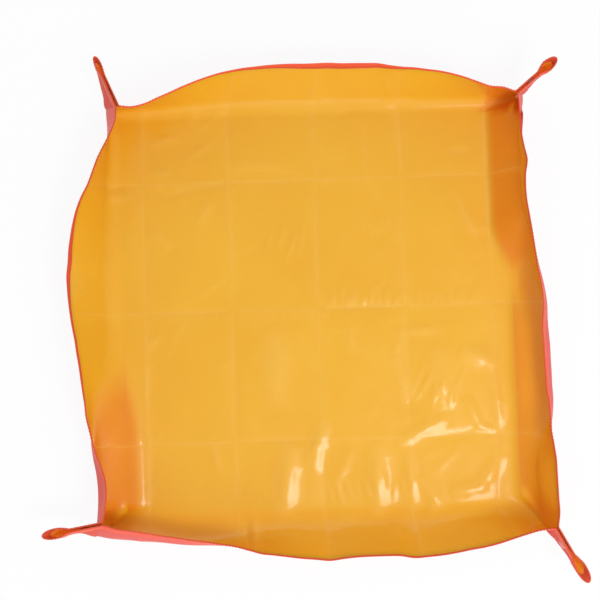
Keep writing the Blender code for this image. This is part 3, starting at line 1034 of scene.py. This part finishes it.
@dataclass(frozen=True)
class CoatedWeave:
    """Flat plastic yarns woven and coated with a glossy film."""

    name: str
    colour: Colour
    deep: Colour
    worn: Colour
    glow: Colour
    # The colour in which shade is painted, where the sheet is steep or lifted.
    drawn: Colour
    roughness: float = 0.32
    thin: float = 0.30
    ear_light: float = 0.24
    coat: float = 0.6
    coat_roughness: float = 0.13
    yarn: float = 0.0021
    weave_height: float = 0.00007
    film_height: float = 0.0006
    crease_line: float = 0.0011
    fold_place: float = 0.266
    fold_reach: float = 0.022

    def weave(self, x: Channel, y: Channel) -> Channel:
        """The yarns' height: each passes over and under its neighbours."""
        turn = math.pi / self.yarn
        wave_x, wave_y = (x * turn).sine(), (y * turn).sine()
        over = (wave_x * wave_y) > 0.0
        across, along = abs(wave_x), abs(wave_y)
        return over * across**0.35 * along**0.9 + (1 - over) * across**0.9 * along**0.35

    def crease_lines(self, x: Channel, y: Channel, broken: Channel) -> Channel:
        """Thin lines where the film is cracked along the packing creases."""
        lines = []
        for place, count in ((x, Relief.columns), (y, Relief.rows)):
            lines.append((1 - place.folded(FORM.side / count / 2) / self.crease_line).clamped())
        return lines[0].larger(lines[1]) * (broken * 1.6 - 0.25).clamped()

    def make(self) -> Finish:
        """Build the finish."""
        maker = NodeMaker(self.name)
        place = maker.sheet_place()
        x = maker.node("ShaderNodeSeparateXYZ", {}, {0: place})
        y = x.other("Y")
        wear = maker.attribute(WEAR)
        patches = maker.spread(place, 7.0, 3.0)
        broken = maker.spread(place, 38.0)
        weave = self.weave(x, y)
        lines = self.crease_lines(x, y, broken)
        sockets = {"Vector": place, "Scale": 42.0, "Randomness": 1.0}
        cells = maker.node("ShaderNodeTexVoronoi", {"feature": "DISTANCE_TO_EDGE"}, sockets)
        crumple = (cells * 3.0).clamped() ** 0.5
        film = maker.spread(place, 95.0, 4.0, 0.55)
        out = abs(x).larger(abs(y))
        matt = (1 - abs(out - self.fold_place) / self.fold_reach).clamped()
        first = maker.mixed((patches * 1.9 - 0.45).clamped(), self.deep, self.colour)
        # Painted shade: turn the colour towards the shade colour where the painted shade attribute is high.
        first = maker.mixed(maker.attribute(PAINTED_SHADE_ATTRIBUTE) * 0.8, first, self.drawn)
        second = maker.mixed((wear * 0.30 + lines * 0.55).clamped(), first, self.worn)
        creased = maker.bumped(crumple * 0.30 + film * 0.9 - lines * 0.5, self.film_height, 0.55)
        rubbed = patches * 0.10 + wear * 0.10 + lines * 0.2 + broken * 0.05 + matt * 0.12
        maker.dress(
            Base_Color=maker.mixed((1 - weave) * 0.16, second, self.deep),
            Roughness=rubbed + self.roughness,
            Normal=maker.bumped(weave, self.weave_height, 0.8, Normal=creased),
            Coat_Weight=(1 - matt * 0.85) * self.coat,
            Coat_Roughness=self.coat_roughness,
            IOR=1.45,
        )
        through = maker.node("ShaderNodeBsdfTranslucent", {}, {"Color": self.glow})
        lit = (wear > 0.97) * self.ear_light + self.thin
        return maker.show_mixed(lit, Channel(maker, maker.shader.outputs[0]), through)


@dataclass(frozen=True)
class WovenTape:
    """Binding tape with a fine rib across it, and shade painted on its inner hem and over its top."""

    name: str
    colour: Colour
    deep: Colour
    # The colour of the shade painted on the inner hem and over the top of the edge.
    folded: Colour
    rib: float = 0.0009
    # How far round from the inner hem the painted shade reaches.
    fold_reach: float = 0.0040

    def make(self) -> Finish:
        """Build the finish."""
        maker = NodeMaker(self.name)
        place = maker.sheet_place()
        x = maker.node("ShaderNodeSeparateXYZ", {}, {0: place})
        y = x.other("Y")
        turn = math.tau / self.rib
        twill = ((x + y * 0.5) * turn).sine() * 0.5 + 0.5
        cross = ((x * 0.4 - y) * turn * 1.2).sine() * 0.5 + 0.5
        patches = maker.spread(place, 30.0)
        height = twill * 0.6 + cross * 0.4 + maker.spread(place, 900.0, 3.0) * 0.3
        shade = maker.mixed((height * 0.5 + patches * 0.4).clamped(), self.deep, self.colour)
        # Painted shade on the inner hem and over the top, where the fold of the edge lies in shade.
        painted_edge_shade = ((self.fold_reach - y) * 900 + patches).clamped() * 0.8
        return maker.dress(
            Base_Color=maker.mixed(painted_edge_shade, shade, self.folded),
            Roughness=patches * 0.16 + 0.46,
            Normal=maker.bumped(height, 0.00008, 0.8),
            Sheen_Weight=0.15,
            IOR=1.48,
        )


@dataclass(frozen=True)
class SewingThread:
    """Twisted polyester thread."""

    name: str
    colour: Colour
    deep: Colour

    def make(self) -> Finish:
        """Build the finish."""
        maker = NodeMaker(self.name)
        sockets = {"Vector": maker.object_place(), "Scale": 900.0, "Distortion": 1.0}
        settings = {"wave_type": "BANDS", "bands_direction": "DIAGONAL"}
        twist = maker.node("ShaderNodeTexWave", settings, sockets, "Fac")
        shade = maker.mixed(twist, self.deep, self.colour)
        return maker.dress(Base_Color=shade, Roughness=0.5, Normal=maker.bumped(twist, 0.00005, 0.6))


@dataclass(frozen=True)
class SnapSteel:
    """Pressed steel, plated or enamelled, and worn in patches.

    The patches are a scale, a gain and a loss. The grain is a scale, its detail and its roughness.
    The rough values are the finish's roughness, and what the patches and the grain add to it.
    """

    name: str
    colour: Colour
    worn: Colour
    patches: tuple[float, float, float]
    grain: tuple[float, float, float]
    grain_height: float
    rough: tuple[float, float, float]
    coat: float = 0.0
    metallic: float = 0.0

    def make(self) -> Finish:
        """Build the finish."""
        maker = NodeMaker(self.name)
        place = maker.object_place()
        scale, gain, loss = self.patches
        patches = maker.spread(place, scale, 3.0)
        grain = maker.spread(place, *self.grain)
        base, from_patches, from_grain = self.rough
        return maker.dress(
            Base_Color=maker.mixed((patches * gain - loss).clamped(), self.colour, self.worn),
            Roughness=patches * from_patches + grain * from_grain + base,
            Normal=maker.bumped(grain, self.grain_height, 0.5),
            Coat_Weight=self.coat,
            Coat_Roughness=0.12,
            Metallic=self.metallic,
        )


@dataclass
class MatSheet:
    """The sheet: the floor, the walls and the ears' layers, cut from one square."""

    relief: Relief
    inside: Finish
    outside: Finish

    def __post_init__(self) -> None:
        """Work out the walls and ear layers, which the tape and thread follow."""
        self.walls = {wall: WallSurface(self.relief, wall) for wall in Wall}
        pairs = [(corner, wall) for corner in Corner for wall in FORM.wings(corner)]
        self.ears = {(corner, wall): EarLayer(corner, self.walls[wall]) for corner, wall in pairs}
        self.close_mitres()

    def close_mitres(self) -> None:
        """Bring neighbouring walls together along the mitres in the floor."""
        for corner in Corner:
            first, second = (self.walls[wall] for wall in FORM.wings(corner))
            i, j = (0 if corner == wall.first else wall.columns for wall in (first, second))
            low = int(FORM.bend / (FORM.bend + FORM.depth) * first.rows)
            for row in range(low + 1):
                middle = (first.places[i, row] + second.places[j, row]) / 2
                first.places[i, row] = second.places[j, row] = middle

    def floor_surface(self) -> MiddleSurface:
        """The floor inside the soft bends."""
        steps = np.linspace(-FORM.inner_half, FORM.inner_half, WallSurface.columns + 1)
        u, v = np.meshgrid(steps, steps, indexing="ij")
        height = self.relief.height(u.ravel(), v.ravel()).reshape(u.shape)
        lift = np.array([[self.relief.lift(x, y) for y in steps] for x in steps])
        places = np.stack((u, v, FORM.middle + height + lift), axis=2)
        wear = self.relief.wear(u.ravel(), v.ravel()).reshape(u.shape)
        # Painted shade, as a deeper orange, where a shoulder lifts the floor into a steep facet.
        drawn = smooth_all(lift, 0.0, 0.012)
        return MiddleSurface("floor_sheet", places, places[..., :2], wear, drawn, UP)

    def build(self) -> dict[Any, Item]:
        """Build every panel of the sheet and let it ride.

        Returns:
            The panels' objects, by wall, by corner and wall, and the floor under its own name.
        """
        finishes = (FORM.thickness, self.inside, self.outside)
        surfaces = {"floor": self.floor_surface()}
        surfaces.update({wall: panel.surface() for wall, panel in self.walls.items()})
        normals = shared_normals(list(surfaces.values()))
        made: dict[Any, Item] = {}
        for (key, surface), shared in zip(surfaces.items(), normals):
            made[key] = make_shell(surface, shared, *finishes)
        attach(made["floor"], "floor")
        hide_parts("sheet_floor")
        for wall, panel in self.walls.items():
            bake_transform(made[wall], "floor", f"wall_{wall.value}", *panel.bend_line())
            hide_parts(f"sheet_{wall.value}_wall")
        for (corner, wall), layer in self.ears.items():
            surface = layer.surface()
            item = made[corner, wall] = make_shell(surface, surface.own_normals(), *finishes)
            body = f"layer_{corner.value}_{wall.value}"
            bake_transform(item, f"wall_{wall.value}", body, *layer.bend_line())
            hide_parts(f"corner_layer_{corner.value}_{wall.value}")
        for item in made.values():
            report(item)
        return made


@dataclass
class EdgeTrim:
    """The tape folded over the sheet's edge, and the thread that holds it."""

    tape_finish: Finish
    thread_finish: Finish
    width: float = 0.0070
    ear_width: float = 0.0015
    thickness: float = 0.0005
    clearance: float = 0.00006
    step: float = 0.0011
    parts: tuple[float, ...] = (1.0, 0.82, 0.64, 0.45, 0.25, 0.08)
    turns: int = 6
    stitch_pitch: float = 0.0042
    stitch_drop: float = 0.0009
    stitch_half: float = 0.0014
    thread: float = 0.00032
    pucker: float = 0.00012

    def __post_init__(self) -> None:
        """Work out how far the tape's middle lies from the sheet's."""
        self.offset = FORM.thickness / 2 + self.clearance + self.thickness / 2

    def inner_width(self, panel: Panel, share: float) -> float:
        """How far the tape reaches down the inside at this share of the edge."""
        if isinstance(panel, WallSurface):
            return read_stations(panel.shape.tape, share) * MILLIMETRE
        return self.ear_width + (self.width - self.ear_width) * smooth(share, 0.72, 0.95)

    def leg(self, panel: Panel, share: float, side: int, width: float, wave: float) -> list[Vector]:
        """The tape's points down one face of the sheet, from its hem up."""
        points = []
        for drop in (width * part for part in self.parts):
            middle, normal, _ = panel.edge_frame(share, drop)
            loose = smooth(drop, self.stitch_drop, self.width)
            out = self.offset + self.pucker * wave * (0.4 + loose)
            points.append(middle + normal * side * out)
        return points

    def section(self, panel: Panel, share: float, along: float) -> list[Vector]:
        """The tape's points across the edge, from its inner hem over the top to its outer hem."""
        wave = math.sin(math.pi * along / self.stitch_pitch) ** 2
        inner = self.leg(panel, share, 1, self.inner_width(panel, share), wave)
        outer = self.leg(panel, share, -1, self.width, wave)
        top, normal, rising = panel.edge_frame(share, 0.0)
        angles = [math.pi * step / self.turns for step in range(self.turns + 1)]
        over = [top + (normal * math.cos(a) + rising * math.sin(a)) * self.offset for a in angles]
        return inner + over + outer[::-1]

    def tape(self, name: str, panel: Panel, length: float) -> Item:
        """Fold the tape over one panel's edge."""
        columns = max(round(length / self.step), 8)
        shares = np.linspace(0.0, 1.0, columns + 1)
        places = np.array([self.section(panel, share, share * length) for share in shares])
        gaps = np.linalg.norm(np.diff(places[columns // 2], axis=0), axis=1)
        girth = np.concatenate(([0.0], np.cumsum(gaps)))
        sheet = np.array([[(share * length, across) for across in girth] for share in shares])
        plain = np.zeros(places.shape[:2])
        hem, top, far_hem = places[:, (0, places.shape[1] // 2, -1)].mean(axis=0)
        out = Vector(top - (hem + far_hem) / 2)
        surface = MiddleSurface(name, places, sheet, plain, plain, out)
        return make_shell(surface, surface.own_normals(), self.thickness, self.tape_finish)

    def stitch(self) -> bpy.types.Mesh:
        """One stitch, lying along X."""
        mesh = bmesh.new()
        size = Matrix.Diagonal((self.stitch_half, self.thread * 0.8, self.thread, 1))
        bmesh.ops.create_uvsphere(mesh, u_segments=6, v_segments=5, radius=1.0, matrix=size)
        shade_round(mesh)
        return write_mesh(mesh, "stitch")

    def stitches(self, name: str, panel: Panel, length: float) -> Item:
        """Sew one row of stitches along a panel's edge, seen on both faces."""
        mesh = bmesh.new()
        count = max(round(length / self.stitch_pitch), 2)
        out = self.offset + self.thickness / 2 + self.thread * 0.25
        for index in range(count):
            middle, normal, rising = panel.edge_frame((index + 0.5) / count, self.stitch_drop)
            along = normal.cross(rising).normalized()
            for side in (1, -1):
                sewn = self.stitch()
                place = middle + normal * side * out
                sewn.transform(frame_of(along * side, rising, normal * side, place))
                mesh.from_mesh(sewn)
                bpy.data.meshes.remove(sewn)
        return put_in_scene(name, write_mesh(mesh, name, self.thread_finish))

    def trim(self, tag: str, panel: Any) -> list[Item]:
        """The tape and stitches of one panel."""
        length = panel.edge_length()
        tape = self.tape(f"tape_{tag}", panel, length)
        thread = self.stitches(f"stitches_{tag}", panel, length)
        for item in (tape, thread):
            report(item)
        return [tape, thread]

    def build(self, sheet: MatSheet) -> dict[Any, list[Item]]:
        """Trim every edge of the sheet.

        Args:
            sheet: The sheet whose edges are taped.

        Returns:
            The tape and stitches of each panel, under the panel's key.
        """
        made: dict[Any, list[Item]] = {}
        for wall, panel in sheet.walls.items():
            tag = f"wall_{wall.value}"
            made[wall] = self.trim(tag, panel)
            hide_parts(f"binding_{wall.value}_wall")
            for item in made[wall]:
                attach(item, tag)
        for (corner, wall), panel in sheet.ears.items():
            tag = f"{corner.value}_{wall.value}"
            made[corner, wall] = self.trim(f"ear_{tag}", panel)
            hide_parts(f"binding_{tag}")
            for item in made[corner, wall]:
                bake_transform(item, f"wall_{wall.value}", f"layer_{tag}", *panel.bend_line())
        return made


def arc(x: float, y: float, radius: float, start: float, end: float, count: int) -> Profile:
    """Points on an arc round a centre, with its angles in degrees."""
    turns = [math.radians(start + (end - start) * step / count) for step in range(count + 1)]
    return [(x + radius * math.cos(turn), y + radius * math.sin(turn)) for turn in turns]


@dataclass
class SnapFastener:
    """One snap: cap and socket on one layer of an ear, stud and back post on the other.

    Each piece is a profile of radii and of heights above the ear's middle.
    """

    corner: Corner
    shown: Finish
    hidden: Finish
    steps: int = 48
    reach: float = 0.026
    binding: float = 0.0070
    gap: float = 0.0003
    cap_radius: float = 0.0062
    cap_rim: float = 0.0007
    cap_dome: float = 0.0009
    post_radius: float = 0.0014
    socket_radius: float = 0.0050
    socket_height: float = 0.0017
    socket_base: float = 0.0006
    socket_round: float = 0.0004
    bore_radius: float = 0.0032
    bore_edge: float = 0.0003
    flange_radius: float = 0.0047
    flange: float = 0.0006
    knob_radius: float = 0.0020
    knob_round: float = 0.0004
    waist: tuple[float, float] = (0.0003, 0.0002)
    knob_bore: float = 0.0012
    bore_floor: float = 0.0005
    back_flange: float = 0.0007
    back_post: float = 0.0009
    sharp_angle: float = 40

    def __post_init__(self) -> None:
        """Work out the seats on the solid sheet, the socket's ends and the knob's end."""
        self.outer_seat = FORM.spacing / 2 + FORM.middle + self.gap
        self.inner_seat = FORM.spacing / 2 - FORM.middle - self.gap
        self.mouth = self.inner_seat - self.socket_height
        self.socket_floor = self.mouth + self.socket_height - self.socket_base
        self.knob_end = self.socket_floor - self.gap

    def cap(self) -> Profile:
        """A domed cap with a rolled rim, and its post."""
        under = self.outer_seat
        crown = []
        for share in (step / 12 for step in range(11)):
            height = under + self.cap_rim + self.cap_dome * math.sqrt(1 - share**2)
            crown.append((self.cap_radius * share * 0.97, height))
        roll = self.cap_rim / 2
        rim = arc(self.cap_radius - roll, under + roll, roll, 80, -90, 8)
        end = self.socket_floor
        return crown + rim + [(self.post_radius, under), (self.post_radius, end), (0, end)]

    def socket(self) -> Profile:
        """A ring with rounded shoulders that grips the knob."""
        back, floor, mouth = self.inner_seat, self.socket_floor, self.mouth
        hole, bore = self.post_radius + self.gap, self.bore_radius
        rounded, edge = self.socket_round, self.bore_edge
        outer = arc(self.socket_radius - rounded, back - rounded, rounded, 90, 0, 4)
        lip = arc(self.socket_radius - rounded, mouth + rounded, rounded, 0, -90, 4)
        inner = [(bore + edge, mouth), (bore, mouth + edge), (bore, floor)]
        return [(hole, back), *outer, *lip, *inner, (hole, floor), (hole, back)]

    def stud(self) -> Profile:
        """A flange with a waisted knob, hollow from behind."""
        seat, half, end = -self.inner_seat, self.flange / 2, self.knob_end
        shoulder, floor = seat + self.flange, end - self.bore_floor
        rounded, (waist_in, waist_up) = self.knob_round, self.waist
        bead = arc(self.knob_radius - rounded, end - rounded, rounded, 90, -50, 6)
        waist = [(self.knob_radius - waist_in, shoulder + waist_up), (self.knob_radius, shoulder)]
        rim = arc(self.flange_radius - half, seat + half, half, 90, -90, 6)
        inside = [(self.knob_bore, seat), (self.knob_bore, floor), (0, floor)]
        return [(0, end), *bead, *waist, *rim, *inside]

    def post(self) -> Profile:
        """A flat ring behind the knob, with its post."""
        under, half = -self.outer_seat, self.back_flange / 2
        end = self.knob_end - self.bore_floor - self.gap
        rim = arc(self.flange_radius - half, under - half, half, 90, -90, 6)
        dish = [(self.flange_radius * 0.62, under - self.back_flange)]
        dish += [(self.flange_radius * 0.55, under - half), (0, under - half)]
        return [(0, end), (self.back_post, end), (self.back_post, under), *rim, *dish]

    def turn(self, name: str, profile: Profile, frame: Matrix, finish: Finish) -> Item:
        """Spin a profile round the snap's axis."""
        mesh = bmesh.new()
        ring = [mesh.verts.new((radius, 0, height)) for radius, height in profile]
        for pair in zip(ring, ring[1:]):
            mesh.edges.new(pair)
        geometry = [*mesh.verts, *mesh.edges]
        way = {"cent": (0, 0, 0), "axis": (0, 0, 1), "angle": math.tau, "steps": self.steps}
        bmesh.ops.spin(mesh, geom=geometry, use_merge=True, **way)
        bmesh.ops.remove_doubles(mesh, verts=mesh.verts, dist=0.00001)
        bmesh.ops.transform(mesh, matrix=frame, verts=mesh.verts)
        shade_round(mesh)
        data = write_mesh(mesh, name, finish)
        data.set_sharp_from_angle(angle=math.radians(self.sharp_angle))
        return put_in_scene(name, data)

    def build(self) -> None:
        """Build the snap's four pieces and let them ride on their layers."""
        cap_wall, stud_wall = FORM.wings(self.corner)
        drop = self.binding + self.cap_radius + self.gap
        frame = FORM.ear_matrix(self.corner, cap_wall) @ Matrix.Translation((self.reach, drop, 0))
        for kind, profile, wall, finish in (
            ("cap", self.cap(), cap_wall, self.shown),
            ("socket", self.socket(), cap_wall, self.hidden),
            ("stud", self.stud(), stud_wall, self.hidden),
            ("post", self.post(), stud_wall, self.shown),
        ):
            item = self.turn(f"{kind}_{self.corner.value}", profile, frame, finish)
            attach(item, f"layer_{self.corner.value}_{wall.value}")
            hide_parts(f"snap_{kind}_{self.corner.value}")
            report(item)


@dataclass
class Studio:
    """The pale floor, the soft lamps and the camera.

    A lamp is its name, place, size and energy. The camera's angles are in degrees, and its focal
    length, frame and centre are in the photograph's pixels.
    """

    distance: float = 1.300
    tilt: float = 3.0
    roll: float = -1.899
    focal: float = 992.747
    frame: float = 600.0
    centre: tuple[float, float] = (318.8, 308.8)
    world_strength: float = 0.645
    lamps: tuple[tuple[Any, ...], ...] = (
        ("glint_lamp", (0.70, -0.78, 1.65), 0.64, 16.0),
        ("south_lamp", (0.10, -2.70, 1.15), 2.0, 17.0),
        ("north_lamp", (-0.70, 2.60, 1.15), 2.0, 11.0),
    )

    def floor(self) -> None:
        """Lay the stage's floor, which shows white and keeps the object's shadow."""
        mesh = bmesh.new()
        bmesh.ops.create_grid(mesh, x_segments=2, y_segments=2, size=6)
        bmesh.ops.translate(mesh, vec=(0, 0, -0.0004), verts=mesh.verts)
        maker = NodeMaker("studio_white")
        rays = maker.node("ShaderNodeLightPath", {}, {}, "Is Camera Ray")
        seen = rays.larger(rays.other("Is Glossy Ray"))
        seen = seen.larger(rays.other("Is Transmission Ray")) * 0.9
        plain = maker.node("ShaderNodeBsdfDiffuse", {}, {"Color": (0.9, 0.9, 0.9, 1)})
        white = maker.node("ShaderNodeEmission", {}, {"Color": (1, 1, 1, 1), "Strength": 1.0})
        finish = maker.show_mixed(seen, plain, white)
        put_in_scene("studio_floor", write_mesh(mesh, "studio_floor", finish))

    def world(self) -> None:
        """Fill the room with even white light."""
        world = bpy.context.scene.world = bpy.data.worlds.new("studio_world")
        world.use_nodes = True
        backdrop = world.node_tree.nodes["Background"]
        backdrop.inputs["Color"].default_value = (1, 1, 1, 1)
        backdrop.inputs["Strength"].default_value = self.world_strength

    def lamp(self, name: str, place: tuple[float, float, float], size: float, energy: float) -> None:
        """Hang one large soft lamp that faces the mat."""
        light = bpy.data.lights.new(name, "AREA")
        light.shape = "SQUARE"
        light.size = size
        light.energy = energy
        item = put_in_scene(name, light)
        item.location = place
        item.rotation_euler = (-Vector(place)).to_track_quat("-Z", "Y").to_euler()

    def camera(self) -> None:
        """Stand the camera over the mat, as the photograph was taken."""
        data = bpy.data.cameras.new("camera")
        data.sensor_width = 36.0
        data.lens = data.sensor_width * self.focal / self.frame
        data.shift_x = (self.frame / 2 - self.centre[0]) / self.frame
        data.shift_y = (self.centre[1] - self.frame / 2) / self.frame
        tilt, roll = math.radians(self.tilt), math.radians(self.roll)
        back = Vector((0, -math.sin(tilt), math.cos(tilt)))
        right = Vector((1, 0, 0))
        top = back.cross(right)
        turned_right = right * math.cos(roll) + top * math.sin(roll)
        turned_top = top * math.cos(roll) - right * math.sin(roll)
        item = put_in_scene("camera", data)
        item.matrix_world = frame_of(turned_right, turned_top, back, back * self.distance)
        bpy.context.scene.camera = item

    def build(self) -> None:
        """Set up the whole studio."""
        bpy.context.scene.view_settings.view_transform = "Standard"
        self.floor()
        self.world()
        for lamp in self.lamps:
            self.lamp(*lamp)
        self.camera()


def main() -> None:
    """Load the frame and build the mat round it, piece by piece."""
    logging.basicConfig(level=logging.INFO, format="%(name)s: %(message)s")
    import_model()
    inside = CoatedWeave(
        name="yellow_film",
        colour=(0.91, 0.61, 0.030, 1),
        deep=(0.88, 0.54, 0.018, 1),
        worn=(0.93, 0.67, 0.12, 1),
        glow=(1.0, 0.42, 0.05, 1),
        # Painted shade on the steep and lifted parts of the yellow face.
        drawn=(0.86, 0.27, 0.010, 1),
    )
    outside = CoatedWeave(
        name="coral_film",
        colour=(0.90, 0.15, 0.13, 1),
        deep=(0.86, 0.115, 0.10, 1),
        worn=(0.95, 0.27, 0.22, 1),
        glow=(1.0, 0.42, 0.28, 1),
        # Painted shade on the steep and lifted parts of the coral face.
        drawn=(0.88, 0.12, 0.11, 1),
        roughness=0.42,
        coat=0.15,
        coat_roughness=0.25,
    )
    tape = WovenTape(
        name="red_tape",
        colour=(0.93, 0.105, 0.028, 1),
        deep=(0.80, 0.065, 0.016, 1),
        # Painted shade colour for the tape's inner hem and top.
        folded=(0.62, 0.060, 0.016, 1),
    )
    thread = SewingThread("red_thread", (0.80, 0.08, 0.04, 1), (0.55, 0.035, 0.02, 1))
    plated = SnapSteel(
        name="plated_steel",
        colour=(0.74, 0.73, 0.71, 1),
        worn=(0.52, 0.51, 0.50, 1),
        patches=(240.0, 1.4, 0.3),
        grain=(2600.0, 4.0, 0.6),
        grain_height=0.00001,
        rough=(0.16, 0.18, 0.08),
        metallic=1.0,
    )
    enamel = SnapSteel(
        name="coral_enamel",
        colour=(0.86, 0.12, 0.09, 1),
        worn=(0.70, 0.10, 0.08, 1),
        patches=(300.0, 2.2, 0.9),
        grain=(1400.0, 2.0, 0.5),
        grain_height=0.00002,
        rough=(0.26, 0.16, 0.0),
        coat=0.3,
    )
    sheet = MatSheet(Relief(), inside.make(), outside.make())
    panels = sheet.build()
    trims = EdgeTrim(tape.make(), thread.make()).build(sheet)
    shown, hidden = enamel.make(), plated.make()
    for corner in Corner:
        SnapFastener(corner, shown, hidden).build()
    Studio().build()


if __name__ == "__main__":
    main()
